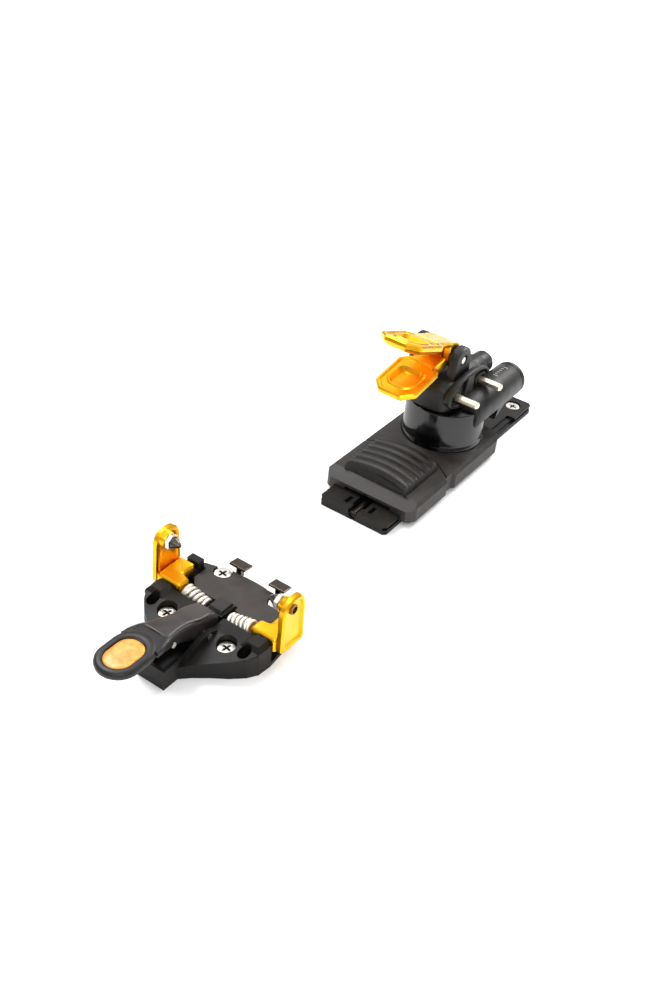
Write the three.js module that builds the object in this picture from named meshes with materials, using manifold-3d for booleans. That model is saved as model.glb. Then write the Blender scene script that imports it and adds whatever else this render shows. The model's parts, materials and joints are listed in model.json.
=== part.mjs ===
// Touring binding: a pin toe unit and a turning heel unit on one ski axis.
// Millimetres, +X to the ski tip, +Y to the rider's left, +Z up.
// Origin: heel turning axis on the mounting plane (the ski's top surface).
import * as THREE from 'three';
import { mergeVertices } from 'three/addons/utils/BufferGeometryUtils.js';
import Module from 'manifold-3d';

const wasm = await Module();
wasm.setup();

// ---- driving dimensions ----
const GAP = 0.3;            // clearance left between neighbouring pieces
const TOE_X = 214.8;        // toe pin line, forward of the heel turning axis
const SCREW_HEAD_R = 4.75;  // ski screw head
const SCREW_SHANK_R = 2.6;

const PIN_TIP_Y = 28.7;     // half the distance between the two toe pin tips
const PIN_Z = 35.7;         // toe pin height
const ARM_IN_Y = 38.4;      // arm plate, inner and outer faces
const ARM_OUT_Y = 42.6;
const AXLE_Y = 32;          // arm hinge axis, runs fore and aft
const AXLE_Z = 13;
const AXLE_R = 2;
const SPRING_R = 3.75;      // coil centre-line radius
const SPRING_WIRE_R = 0.85;
const SPRING_X = 3.2;       // spring axis, forward of the toe pin line
const SPRING_OUT = [22.3, 12.6];
const SPRING_IN = [7.2, 9.2];
const LEVER_X = 22.7;       // lever hinge axis
const LEVER_Z = 14;
const GRIP_X = 70.4;        // middle of the level oval grip
const GRIP_TOP = 32.6;
const FRONT_SCREW = [20.3, 19.3];
const REAR_SCREW = [-21.7, 18.1];

const TRACK_FRONT = 98;
const TRACK_REAR = -82;
const TRACK_W = 46.5;
const TRACK_T = 6;
const CAR_FRONT = 83.5;
const CAR_REAR = -23;
const CAR_W = 62.4;
const CAR_TOP = 15;
const CAR_BOTTOM = 3.3;
const LEAD_SCREW_R = 2.1;
const LEAD_SCREW_Z = 3.2;
const TURRET_R = 25;
const TURRET_SPLIT_Z = 40.6;
const HOUSING_TOP_Z = 60;
const POST_R = 8;
const HEEL_PIN_R = 2.5;
const HEEL_PIN_X = 14.3;    // half the spacing of the heel pins
const HEEL_PIN_Z = 51;
const HEEL_PIN_TIP_Y = 28;
const BARREL = [16, 37, 11];       // lateral release barrel: y, z, radius
const BARREL_END_X = -53;
const REAR_BOSS = [0, 47, 8.6];    // vertical release boss: y, z, radius
const LIFT_X = 3;           // lifter axle, parallel to Y
const LIFT_Z = 69.5;
const LIFT_Y = -8;          // middle of the lifters
const LIFT_AXLE_R = 2.2;

// ---- materials ----
function finish(color, roughness, metalness) {
  return () => new THREE.MeshStandardMaterial({ color, roughness, metalness });
}
const moulding = finish(0x24211f, 0.6, 0);
const gloss = finish(0x0c0b0b, 0.15, 0);
const gold = finish(0xf2ac0a, 0.28, 1);
const steel = finish(0xc9c7c2, 0.3, 1);
const darkSteel = finish(0x4a4642, 0.35, 1);
const champagne = finish(0xd9ceb4, 0.3, 1);
const amber = finish(0xf29a3c, 0.4, 0);

// ---- solids ----
function solid(geometry) {
  const bare = geometry.index ? geometry.toNonIndexed() : geometry.clone();
  bare.deleteAttribute('normal');
  bare.deleteAttribute('uv');
  const merged = mergeVertices(bare, 1e-4);
  const vertProperties = new Float32Array(merged.attributes.position.array);
  const triVerts = new Uint32Array(merged.index.array);
  return new wasm.Manifold(new wasm.Mesh({ numProp: 3, vertProperties, triVerts }));
}

function join(...parts) {
  return parts.reduce((sum, part) => sum.add(part));
}

function cut(body, ...tools) {
  return tools.reduce((rest, tool) => rest.subtract(tool), body);
}

function outline(points) {
  return new THREE.Shape(points.map(([a, b]) => new THREE.Vector2(a, b)));
}

function extrude(points, depth) {
  return new THREE.ExtrudeGeometry(outline(points), { depth, bevelEnabled: false });
}

// Plan outline (x, y) between two heights.
function slab(points, z0, z1) {
  return solid(extrude(points, z1 - z0).translate(0, 0, z0));
}

// Side outline (x, z) between two widths y0 < y1.
function side(points, y0, y1) {
  const basis = new THREE.Matrix4().makeBasis(
    new THREE.Vector3(1, 0, 0), new THREE.Vector3(0, 0, 1), new THREE.Vector3(0, -1, 0));
  return solid(extrude(points, y1 - y0).applyMatrix4(basis).translate(0, y1, 0));
}

// Cross-section (y, z) between two stations x0 < x1.
function along(points, x0, x1) {
  const basis = new THREE.Matrix4().makeBasis(
    new THREE.Vector3(0, 1, 0), new THREE.Vector3(0, 0, 1), new THREE.Vector3(1, 0, 0));
  return solid(extrude(points, x1 - x0).applyMatrix4(basis).translate(x0, 0, 0));
}

function box(x0, x1, y0, y1, z0, z1) {
  const geometry = new THREE.BoxGeometry(x1 - x0, y1 - y0, z1 - z0);
  return solid(geometry.translate((x0 + x1) / 2, (y0 + y1) / 2, (z0 + z1) / 2));
}

function rodX(y, z, r, x0, x1, sides = 24) {
  const geometry = new THREE.CylinderGeometry(r, r, x1 - x0, sides).rotateZ(-Math.PI / 2);
  return solid(geometry.translate((x0 + x1) / 2, y, z));
}

function rodY(x, z, r, y0, y1, sides = 24) {
  const geometry = new THREE.CylinderGeometry(r, r, y1 - y0, sides);
  return solid(geometry.translate(x, (y0 + y1) / 2, z));
}

function rodZ(x, y, r, z0, z1, sides = 32, rTop = r) {
  const geometry = new THREE.CylinderGeometry(rTop, r, z1 - z0, sides).rotateX(Math.PI / 2);
  return solid(geometry.translate(x, y, (z0 + z1) / 2));
}

function mirrorY(body) {
  return body.mirror([0, 1, 0]);
}

function both(body) {
  return join(body, mirrorY(body));
}

// Half outline (y >= 0) closed by its mirror image; a point on the axis stays only at a corner.
function symmetric(half) {
  const last = half.length - 1;
  const kept = half.filter(([x, y], i) => y > 0
    || (i === 0 && half[1][0] !== x) || (i === last && half[last - 1][0] !== x));
  const other = kept.filter(([, y]) => y > 0).reverse().map(([x, y]) => [x, -y]);
  return kept.concat(other);
}

function stadium(x0, x1, r, steps = 10) {
  const points = [];
  for (let i = 0; i <= steps; i += 1) {
    const a = -Math.PI / 2 + Math.PI * i / steps;
    points.push([x1 - r + r * Math.cos(a), r * Math.sin(a)]);
  }
  for (let i = 0; i <= steps; i += 1) {
    const a = Math.PI / 2 + Math.PI * i / steps;
    points.push([x0 + r + r * Math.cos(a), r * Math.sin(a)]);
  }
  return points;
}

const group = new THREE.Group();

function add(name, body, material) {
  const mesh = body.getMesh();
  const geometry = new THREE.BufferGeometry();
  geometry.setAttribute('position', new THREE.BufferAttribute(new Float32Array(mesh.vertProperties), 3));
  geometry.setIndex(new THREE.BufferAttribute(new Uint32Array(mesh.triVerts), 1));
  geometry.computeVertexNormals();
  const piece = new THREE.Mesh(geometry, material());
  piece.name = name;
  group.add(piece);
}

function addToe(name, body, material) {
  add(name, body.translate([TOE_X, 0, 0]), material);
}

// Countersunk cross-head ski screw, its tip cut flush with the mounting plane.
function skiScrew(x, y, top) {
  const head = rodZ(x, y, SCREW_HEAD_R - 0.5, top - 1.4, top, 28, SCREW_HEAD_R);
  const neck = rodZ(x, y, SCREW_SHANK_R, top - 3, top - 1.4, 28, SCREW_HEAD_R - 0.5);
  const shank = rodZ(x, y, SCREW_SHANK_R, 0.4, top - 3, 20);
  const slotA = box(x - 2.6, x + 2.6, y - 0.55, y + 0.55, top - 1.6, top + 1);
  const slotB = box(x - 0.55, x + 0.55, y - 2.6, y + 2.6, top - 1.6, top + 1);
  return cut(join(head, neck, shank), slotA, slotB);
}

function screwHole(x, y, top, reach) {
  const bore = rodZ(x, y, SCREW_SHANK_R + GAP, -1, top, 20);
  const seat = rodZ(x, y, SCREW_HEAD_R + 0.5, top - 3.3, top + reach, 28);
  return join(bore, seat);
}

// ================= toe unit =================

const BASE_HALF = [
  [44, 0], [44, 8.6], [39, 13.4], [33, 20.6], [28, 27.4], [22, 33.6], [16.5, 36.9], [8, 37.6],
  [-12, 35.6], [-19, 34], [-24, 28], [-27.5, 14], [-28, 0],
];

function toeBase() {
  const plan = symmetric(BASE_HALF);
  const floor = slab(plan, 0, 2.6);
  const block = slab(symmetric(BASE_HALF.slice(0, 7).concat([[8, 37.6], [8, 0]])), 2, 14);
  const fall = side([[8, 0], [46, 0], [46, 6.8], [40, 8.4], [24, 12.2], [17, 14], [8, 14]], -40, 40);
  const front = block.intersect(fall);
  const rear = slab(symmetric([[-12.8, 0], [-12.8, 35.6]].concat(BASE_HALF.slice(9))), 2, 8.4);
  const lugSection = along([[24.6, 12], [24.6, 13.4], [28.4, 16.4], [34.8, 16.4], [36.9, 14.2], [36.9, 12]], 8, 18);
  const frontLug = lugSection.intersect(side([[8, 11], [20, 11], [18, 13.2], [14.8, 17], [8, 17]], 20, 40));
  const rearLug = box(-17.4, -12.8, 27.4, 35.2, 8, 17.4);
  const cheek = side([[16, 9], [17, 14.6], [21, 16.4], [29, 16.2], [39, 12.4], [41, 8]], 7.6, 10.6);
  const trough = box(36, 54, -8.6, 8.6, 0, 12);
  const troughCut = box(17, 52, -6.3, 6.3, 3, 20);
  const leverWell = box(7, 42, -7.3, 7.3, 5, 20);
  const axleBore = rodX(AXLE_Y, AXLE_Z, AXLE_R + GAP, -18, 13.4, 20);
  const pivotBore = rodY(LEVER_X, LEVER_Z, 1.9, -12, 12, 20);
  const oval = slab(stadium(-4, 4, 3, 6).map(([x, y]) => [x + 19.6, y + 29.6]), -1, 20);
  const [fx, fy] = FRONT_SCREW;
  const [rx, ry] = REAR_SCREW;
  const sideCuts = join(axleBore, oval, screwHole(fx, fy, 10.4, 9), screwHole(rx, ry, 10.2, 9));
  const hookSlot = box(-29, -20, 11, 15, 5.2, 9);
  const body = join(floor, front, rear, both(join(frontLug, rearLug, cheek)), trough);
  return cut(body, both(join(sideCuts, hookSlot)), troughCut, leverWell, pivotBore);
}

function toeCover() {
  const half = [
    [-4.6, 0], [-4.6, 6], [-1.9, 6], [-1.9, 18], [-4.4, 23], [-8.5, 26.2], [-17.9, 26.2],
    [-17.9, 32.4], [-21.5, 29.5], [-26.4, 14], [-27, 0],
  ];
  const plate = slab(symmetric(half), 8.7, 11.8);
  const slope = side([[-30, 8], [-30, 10.3], [-16, 11.8], [0, 11.8], [0, 8]], -40, 40);
  const skirt = slab(symmetric([[-9, 0], [-9, 22], [-12.4, 22], [-12.4, 0]]), 5, 9);
  const [rx, ry] = REAR_SCREW;
  const tail = box(-28, -26.2, 7.5, 17, 8, 12);
  return cut(join(plate.intersect(slope), skirt), both(join(screwHole(rx, ry, 10.2, 5), tail)));
}

// Arm on the +Y side: plate, pin boss, hinge barrel and the boss that meets the spring.
function toeArm() {
  const face = [
    [7.3, 11.6], [6.9, 33], [5.4, 37.6], [2.6, 40.2], [-1.4, 41], [-6.4, 39.8], [-9.8, 36.6], [-11.4, 31.4],
    [-12, 13], [-10.4, 9.4], [4.4, 8.6],
  ];
  const inset = [
    [4.8, 13.6], [4.5, 33.6], [4, 37], [2.3, 39.1], [-1.4, 39.5], [-5.3, 38.2], [-7.9, 35.5],
    [-9, 31], [-9.5, 13.9], [-8.7, 12], [3.5, 11.3],
  ];
  const plate = cut(side(face, ARM_IN_Y, ARM_OUT_Y), side(inset, ARM_OUT_Y - 1.3, ARM_OUT_Y + 1));
  const innerY = SPRING_OUT[0] + 0.6;
  const foot = slab([
    [7.3, ARM_IN_Y + 0.5], [7.3, innerY + 0.9], [6.4, innerY], [-0.4, innerY], [-1.3, innerY + 0.9], [-2.1, 27.2],
    [-3.4, 28.4], [-9.6, 28.4], [-11.6, 29.6], [-12.2, 31.8], [-12, ARM_IN_Y + 0.5],
  ], 8.6, 17.4);
  const bevel = along([[innerY - 1, 8.4], [innerY + 3, 8.4], [innerY + 9, 8.6], [45, 8.6], [45, 18.4], [31, 17.6],
    [innerY + 1.6, 16.8], [innerY - 1, 15.4]], -13, 8);
  const web = foot.intersect(bevel);
  const pinBoss = rodY(0, PIN_Z, 4.6, ARM_IN_Y - 2.4, ARM_IN_Y + 0.5, 20);
  const axleBore = rodX(AXLE_Y, AXLE_Z, AXLE_R + GAP, -14, 8, 20);
  const pinBore = rodY(0, PIN_Z, 2, 30, 45, 16);
  return cut(join(plate, web, pinBoss), axleBore, pinBore);
}

function armAxle() {
  return rodX(AXLE_Y, AXLE_Z, AXLE_R, -17.2, 13, 20);
}

// Hardened pin: conical tip, short body and the stem that runs out through the arm.
function toePin() {
  const profile = [[0, 0], [1.1, 0], [3.1, 4], [3.1, 6.3], [1.7, 6.3], [1.7, 13.8], [0, 13.8]];
  const points = profile.map(([r, h]) => new THREE.Vector2(r, h));
  return solid(new THREE.LatheGeometry(points, 20).translate(0, PIN_TIP_Y, PIN_Z));
}

function pinCollar() {
  const ring = rodY(0, PIN_Z, 4.3, ARM_IN_Y - 4.9, ARM_IN_Y - 2.7, 6);
  return cut(ring, rodY(0, PIN_Z, 3.4, ARM_IN_Y - 6, ARM_IN_Y - 3.1, 20), rodY(0, PIN_Z, 2, 30, 40, 20));
}

function pinNut() {
  const nut = rodY(0, PIN_Z, 2.9, ARM_OUT_Y - 1, ARM_OUT_Y + 1.2, 6);
  return cut(nut, rodY(0, PIN_Z, 2, 40, 46, 20));
}

// A coil spring whose axis runs inwards and slightly down.
function armSpring() {
  const [y0, z0] = SPRING_OUT;
  const [y1, z1] = SPRING_IN;
  const axis = new THREE.Vector3(0, y1 - y0, z1 - z0);
  const length = axis.length() - 1.4;
  axis.normalize();
  const sideways = new THREE.Vector3(1, 0, 0);
  const normal = new THREE.Vector3().crossVectors(axis, sideways);
  const turns = 6;
  class Helix extends THREE.Curve {
    getPoint(t) {
      const a = 2 * Math.PI * turns * t;
      return new THREE.Vector3(SPRING_X, y0, z0)
        .addScaledVector(axis, 0.9 + (length - 1.1) * t)
        .addScaledVector(sideways, SPRING_R * Math.cos(a))
        .addScaledVector(normal, SPRING_R * Math.sin(a));
    }
  }
  const section = [];
  for (let i = 0; i < 6; i += 1) {
    const a = Math.PI * i / 3;
    section.push([SPRING_WIRE_R * Math.cos(a), SPRING_WIRE_R * Math.sin(a)]);
  }
  const options = { steps: turns * 12, extrudePath: new Helix(), bevelEnabled: false };
  return solid(new THREE.ExtrudeGeometry(outline(section), options));
}

// Guide rod in the middle of the spring.
function springRod() {
  const [y0, z0] = SPRING_OUT;
  const [y1, z1] = SPRING_IN;
  const length = Math.hypot(y0 - y1, z0 - z1) - 1.9;
  const tilt = Math.atan2(z0 - z1, y0 - y1);
  const rod = new THREE.CylinderGeometry(2.2, 2.2, length, 16).translate(0, -length / 2 - 0.9, 0);
  return solid(rod.rotateX(tilt).translate(SPRING_X, y0, z0));
}

// Middle block that the inner ends of the springs bear on.
function centreBlock() {
  const body = box(-3.8, 7.6, -5.2, 5.2, 4.2, 13.2);
  const cap = side([[-3.8, 13], [-2.4, 15], [5.6, 15], [7.6, 13]], -4, 4);
  return join(body, cap);
}

const LEVER_TOP = [
  [10.2, 9], [10.2, 17.6], [13, 20.6], [19, 22.4], [36, 27.6], [48, 31], [56, 32.2], [60, 30.6],
  [60, 26], [50, 22.4], [42, 19.4], [31, 14.6], [27.6, 10], [22, 8.6],
];

function gripFrame(body) {
  return body.translate([GRIP_X, 0, GRIP_TOP]);
}

function toeLever() {
  const arch = side(LEVER_TOP, -7, 7);
  const wide = side([[36, 26], [48, 31], [56, 32.2], [60, 30.6], [60, 26], [48, 22.8]], -8.6, 8.6);
  const ring = gripFrame(slab(stadium(-15.7, 15.7, 11.7), -4.6, 0));
  const hole = gripFrame(slab(stadium(-10.4, 12, 7.9), -3, 2));
  const plateSeat = side([[15, 19.6], [47.6, 28.9], [50, 34], [12, 34]], -5.5, 5.5);
  const pivot = rodY(LEVER_X, LEVER_Z, 1.9, -12, 12, 20);
  const lock = rodY(47, 25, 1.8, -12, 12, 20);
  const mouth = box(9, 22, -3.4, 3.4, 8, 12);
  return cut(join(arch, wide, ring), hole, plateSeat, pivot, lock, mouth);
}

function leverPlate() {
  return side([[15.3, 20], [47, 29.1], [48.2, 31.4], [46.8, 31.6], [19, 23.4], [15.4, 21.8]], -5.2, 5.2);
}

function leverInlay() {
  return gripFrame(slab(stadium(-10.1, 11.7, 7.6), -2.7, -0.7));
}

function leverPivotPin() {
  return rodY(LEVER_X, LEVER_Z, 1.6, -10.9, 10.9, 16);
}

function leverLockPin() {
  return rodY(47, 25, 1.5, -9, 9, 16);
}

// Steel hook that a ski crampon clips on.
function cramponHook() {
  const foot = box(-29, -20.4, 11.3, 14.7, 5.5, 7.6);
  const post = box(-31.4, -28.6, 11.3, 14.7, 5.5, 12.4);
  const head = side([[-34, 12], [-34, 13.2], [-27.2, 14.2], [-26.8, 13]], 7.8, 18.2);
  return join(foot, post, head);
}

const FRONT_TOP = 10.4;
const REAR_TOP = 10.2;
addToe('toe_base', toeBase(), moulding);
addToe('toe_cover', toeCover(), moulding);
addToe('arm_left', toeArm(), gold);
addToe('arm_right', mirrorY(toeArm()), gold);
addToe('arm_axle_left', armAxle(), steel);
addToe('arm_axle_right', mirrorY(armAxle()), steel);
addToe('toe_pin_left', toePin(), darkSteel);
addToe('toe_pin_right', mirrorY(toePin()), darkSteel);
addToe('pin_collar_left', pinCollar(), steel);
addToe('pin_collar_right', mirrorY(pinCollar()), steel);
addToe('pin_nut_left', pinNut(), steel);
addToe('pin_nut_right', mirrorY(pinNut()), steel);
addToe('arm_spring_left', armSpring(), steel);
addToe('arm_spring_right', mirrorY(armSpring()), steel);
addToe('spring_rod_left', springRod(), steel);
addToe('spring_rod_right', mirrorY(springRod()), steel);
addToe('centre_block', centreBlock(), moulding);
addToe('toe_lever', toeLever(), moulding);
addToe('lever_plate', leverPlate(), moulding);
addToe('lever_inlay', leverInlay(), amber);
addToe('lever_pivot_pin', leverPivotPin(), steel);
addToe('lever_lock_pin', leverLockPin(), steel);
addToe('crampon_hook_left', cramponHook(), steel);
addToe('crampon_hook_right', mirrorY(cramponHook()), steel);
addToe('toe_screw_front_left', skiScrew(FRONT_SCREW[0], FRONT_SCREW[1], FRONT_TOP), steel);
addToe('toe_screw_front_right', skiScrew(FRONT_SCREW[0], -FRONT_SCREW[1], FRONT_TOP), steel);
addToe('toe_screw_rear_left', skiScrew(REAR_SCREW[0], REAR_SCREW[1], REAR_TOP), steel);
addToe('toe_screw_rear_right', skiScrew(REAR_SCREW[0], -REAR_SCREW[1], REAR_TOP), steel);

// ================= heel unit =================

const TRACK_SCREWS = [[-72, 14], [-72, -14], [66, 14], [66, -14]];

function heelTrack() {
  const w = TRACK_W / 2;
  const section = [[-w, 0], [w, 0], [w, 3], [w - 2.4, 3], [w - 2.4, 4.8], [w, 4.8], [w, TRACK_T],
    [-w, TRACK_T], [-w, 4.8], [2.4 - w, 4.8], [2.4 - w, 3], [-w, 3]];
  const rail = along(section, TRACK_REAR, TRACK_FRONT);
  const corner = slab([[TRACK_FRONT + 1, w + 1], [TRACK_FRONT + 1, w - 2.5], [TRACK_FRONT - 3, w + 1]], -1, 8);
  const rearCorner = slab([[TRACK_REAR - 1, w - 3], [TRACK_REAR - 1, w + 1], [TRACK_REAR + 3, w + 1]], -1, 8);
  const groove = box(-62, TRACK_FRONT - 6, -4.4, 4.4, 0.8, 9);
  const mouth = box(TRACK_FRONT - 8, TRACK_FRONT + 1, -3, 3, 3, 9);
  const screwSeat = rodX(0, LEAD_SCREW_Z, LEAD_SCREW_R + GAP, -66, TRACK_FRONT + 1, 20);
  const slots = join(box(86, 93, 7, 9.5, 3.5, 9), box(86, 93, -9.5, -7, 3.5, 9));
  const pocket = box(-58, -34, 17.5, w - 0.01 + 1, 4.4, 8);
  const holes = TRACK_SCREWS.map(([x, y]) => screwHole(x, y, 5.4, 3));
  return cut(rail, both(join(corner, rearCorner)), groove, mouth, screwSeat, slots, pocket, ...holes);
}

// Adjusting screw that moves the carriage along the track.
function leadScrew() {
  const rod = rodX(0, LEAD_SCREW_Z, LEAD_SCREW_R, -65, TRACK_FRONT - 1, 20);
  const slot = box(TRACK_FRONT - 2.2, TRACK_FRONT, -1.8, 1.8, LEAD_SCREW_Z - 0.4, LEAD_SCREW_Z + 0.4);
  return cut(rod, slot);
}

function carriage() {
  const w = CAR_W / 2;
  const inner = TRACK_W / 2 + 0.4;
  const section = [[-w, CAR_BOTTOM], [-inner + 2.2, CAR_BOTTOM], [-inner + 2.2, 4.5], [-inner, 4.5],
    [-inner, TRACK_T + 0.4], [inner, TRACK_T + 0.4], [inner, 4.5], [inner - 2.2, 4.5],
    [inner - 2.2, CAR_BOTTOM], [w, CAR_BOTTOM], [w, 12.6], [w - 2, CAR_TOP], [2 - w, CAR_TOP], [-w, 12.6]];
  const body = along(section, CAR_REAR, CAR_FRONT);
  const nut = box(40, 62, -4, 4, 1.2, 8);
  const nutBore = rodX(0, LEAD_SCREW_Z, LEAD_SCREW_R + GAP, 39, 63, 20);
  const c = CAR_FRONT;
  const frontCorner = slab([[c + 1, w + 1], [c + 1, w - 6], [c - 1.5, w - 2], [c - 7, w + 1]], 0, 20);
  const rearCorner = slab([[CAR_REAR - 1, w - 7], [CAR_REAR - 1, w + 1], [CAR_REAR + 7, w + 1]], 0, 20);
  const waist = slab([[44, w + 1], [44, w - 1.8], [36, w - 1.8], [33, w + 1]], 0, 20);
  const nose = side([[c - 9, CAR_TOP + 1], [c + 1, CAR_TOP + 1], [c + 1, 10.5], [c, 10.5]], -40, 40);
  const postBore = rodZ(0, 0, POST_R + GAP, 9, 20, 32);
  const frontGap = box(c - 3.5, c + 1, -16, 16, 5, 8.6);
  const padSeat = box(46, 73, -14, 14, 12.2, 20);
  const seam = slab([[33.8, 17.2], [34.5, 16.8], [45.2, 32], [44.5, 32.5]], 14.3, 16);
  const trimmed = cut(body, both(join(frontCorner, rearCorner, waist, seam)), nose, frontGap, padSeat);
  return cut(join(trimmed, nut), nutBore, postBore);
}

// Ridged heel rest on the front of the carriage.
function heelPad() {
  const ridges = 5;
  const rear = 37.6;
  const top = [[rear, 15.4]];
  for (let i = 0; i <= ridges * 4; i += 1) {
    const x = rear + 39 * i / (ridges * 4);
    top.push([x, 20.9 + 0.7 * Math.cos(2 * Math.PI * i / 4)]);
  }
  top.push([76.8, 19.6], [76.8, 17.6], [74.6, 15.4]);
  const pad = side(top, -21.3, 21.3);
  const front = slab([[30, -22], [75.2, -22], [76.4, -12], [77.4, 0], [76.4, 12], [75.2, 22], [30, 22]], 10, 30);
  const tenon = box(47, 72, -13.6, 13.6, 12.6, 16);
  return join(pad.intersect(front), tenon);
}

// Steel post the heel unit turns on, fixed in the carriage.
function turretPost() {
  return join(rodZ(0, 0, POST_R, 9.3, 26, 32), rodZ(0, 0, 10.5, 24, 26, 32));
}

function barrelShape(grow, x0, x1, sides = 36) {
  return rodX(BARREL[0], BARREL[1], BARREL[2] + grow, x0, x1, sides);
}

// Lower drum of the turning heel unit.
function turretDrum() {
  const drum = rodZ(0, 0, TURRET_R, 15.4, TURRET_SPLIT_Z, 48);
  const bore = rodZ(0, 0, POST_R + GAP, 10, 23.7, 32);
  const headRoom = rodZ(0, 0, 10.8, 23.7, 45, 32);
  const flare = rodZ(0, 0, TURRET_R + 1.2, 15.4, 18.4, 48, TURRET_R);
  return cut(join(drum, flare), bore, headRoom, barrelShape(GAP, -60, 6));
}

// Upper housing with the clevis ears, the pin flange and the release barrels.
function heelHousing() {
  const z0 = TURRET_SPLIT_Z + GAP;
  const core = slab([[20, -22], [23, -14], [24.4, 0], [22, 9], [18, 11.6], [-22, 11.6], [-24, 0],
    [-22, -14], [-16, -22]], z0, 56);
  const crown = slab([[15, -21], [17, 0], [15, 9.6], [-16, 9.6], [-18, 0], [-15, -21]], 55, HOUSING_TOP_Z);
  const rim = [];
  for (let i = 0; i < 32; i += 1) {
    const a = 2 * Math.PI * i / 32;
    const c = Math.cos(a);
    const s = Math.sin(a);
    rim.push([25 * Math.sign(c) * Math.abs(c) ** 0.9, 51.6 + 10 * Math.sign(s) * Math.abs(s) ** 1.15]);
  }
  const flange = side(rim, 10.6, 13.2);
  const well = side(rim.map(([x, z]) => [x * 0.88, 51.6 + (z - 51.6) * 0.76]), 11.8, 14);
  const rib = side([[-1.8, 44], [1.8, 44], [1.8, 59], [-1.8, 59]], 11, 13.6);
  const ears = [[2.4, 8.6], [-24.6, -18.4]].map(([y0, y1]) => join(
    rodY(LIFT_X, LIFT_Z, 7.6, y0, y1, 32),
    side([[LIFT_X - 9, 55], [LIFT_X - 7.6, LIFT_Z], [LIFT_X + 7.6, LIFT_Z], [LIFT_X + 11, 55]], y0, y1),
  ));
  const barrel = barrelShape(0, BARREL_END_X + 4, 4);
  const bridge = box(-20, 3, 8, 18, z0, 46);
  const boss = rodX(REAR_BOSS[0], REAR_BOSS[1], REAR_BOSS[2], -33, -18, 36);
  const bossTail = rodX(REAR_BOSS[0], REAR_BOSS[1], REAR_BOSS[2] - 1.4, -43, -32, 36);
  const cradle = cut(side([[-6.7, 19.6], [-21, 19.8], [-44, 30], [-44, 34], [-6.7, 34]], 9.1, 23.1),
    rodZ(0, 0, TURRET_R + 1.7, 10, z0, 48));
  const drumRoom = box(-26, -17, -12, 7, 30, z0);
  const slot = box(-41, -35, -3, 3, 52.4, 60);
  const axle = rodY(LIFT_X, LIFT_Z, LIFT_AXLE_R + GAP, -30, 12, 24);
  const springBore = rodX(BARREL[0], BARREL[1], 6.3, -60, -4, 28);
  const rearBore = rodX(REAR_BOSS[0], REAR_BOSS[1], 5.6, -50, -22, 28);
  const pinSlots = [-1, 1].map((s) => box(
    Math.min(s * (HEEL_PIN_X - 2.9), s * (HEEL_PIN_X + 5.6)),
    Math.max(s * (HEEL_PIN_X - 2.9), s * (HEEL_PIN_X + 5.6)),
    -2.4, 20, HEEL_PIN_Z - 2.9, HEEL_PIN_Z + 2.9));
  const lifterGap = slab([[40, -18.4], [40, 2.4], [-40, 2.4], [-40, -18.4]], HOUSING_TOP_Z, 80);
  const shell = cut(join(core, crown, flange, ...ears, barrel, bridge, boss, bossTail, cradle), well, lifterGap);
  return cut(join(shell, rib), axle, springBore, rearBore, slot, drumRoom, ...pinSlots);
}

// Heel pin: six-sided bar with a chamfered free end.
function heelPin(sign) {
  const x = sign * HEEL_PIN_X;
  const bar = rodY(x, HEEL_PIN_Z, HEEL_PIN_R, -2, HEEL_PIN_TIP_Y - 1, 8);
  const tip = solid(new THREE.CylinderGeometry(HEEL_PIN_R - 0.6, HEEL_PIN_R, 1, 8)
    .translate(x, HEEL_PIN_TIP_Y - 0.5, HEEL_PIN_Z));
  return join(bar, tip);
}

// Low-poly coil along X.
function coilX(y, z, radius, wire, x0, x1, turns) {
  class Helix extends THREE.Curve {
    getPoint(t) {
      const a = 2 * Math.PI * turns * t;
      return new THREE.Vector3(x0 + (x1 - x0) * t, y + radius * Math.cos(a), z + radius * Math.sin(a));
    }
  }
  const section = [];
  for (let i = 0; i < 6; i += 1) {
    const a = Math.PI * i / 3;
    section.push([wire * Math.cos(a), wire * Math.sin(a)]);
  }
  const options = { steps: turns * 10, extrudePath: new Helix(), bevelEnabled: false };
  return solid(new THREE.ExtrudeGeometry(outline(section), options));
}

function barrelCap() {
  const plug = barrelShape(-5.1, BARREL_END_X + 0.4, BARREL_END_X + 9, 28);
  const rim = barrelShape(-0.2, BARREL_END_X, BARREL_END_X + 3.6, 36);
  const slot = box(BARREL_END_X - 1, BARREL_END_X + 1.6, BARREL[0] - 4.5, BARREL[0] + 4.5,
    BARREL[1] - 0.8, BARREL[1] + 0.8);
  return cut(join(plug, rim), slot);
}

function rearCap() {
  const [y, z] = REAR_BOSS;
  return cut(rodX(y, z, 5.2, -42.4, -36, 28), box(-43, -41, y - 4, y + 4, z - 0.8, z + 0.8));
}

function springPlunger() {
  return rodX(BARREL[0], BARREL[1], 5.9, -9.4, -4.4, 28);
}

function rearPlunger() {
  return rodX(REAR_BOSS[0], REAR_BOSS[1], 5.2, -25.6, -22.4, 28);
}

// Octagonal paddle from s0 to s1 along the arm, half width w.
function paddleOutline(s0, s1, w) {
  return [[s0 + 5, -w], [s1 - 6.5, -w], [s1, -w + 6], [s1, w - 6], [s1 - 6.5, w], [s0 + 5, w], [s0, w - 5],
    [s0, 5 - w]];
}

function lifterPlace(body, tilt) {
  return body.rotate([0, tilt, 0]).translate([LIFT_X, LIFT_Y, LIFT_Z]);
}

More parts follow.
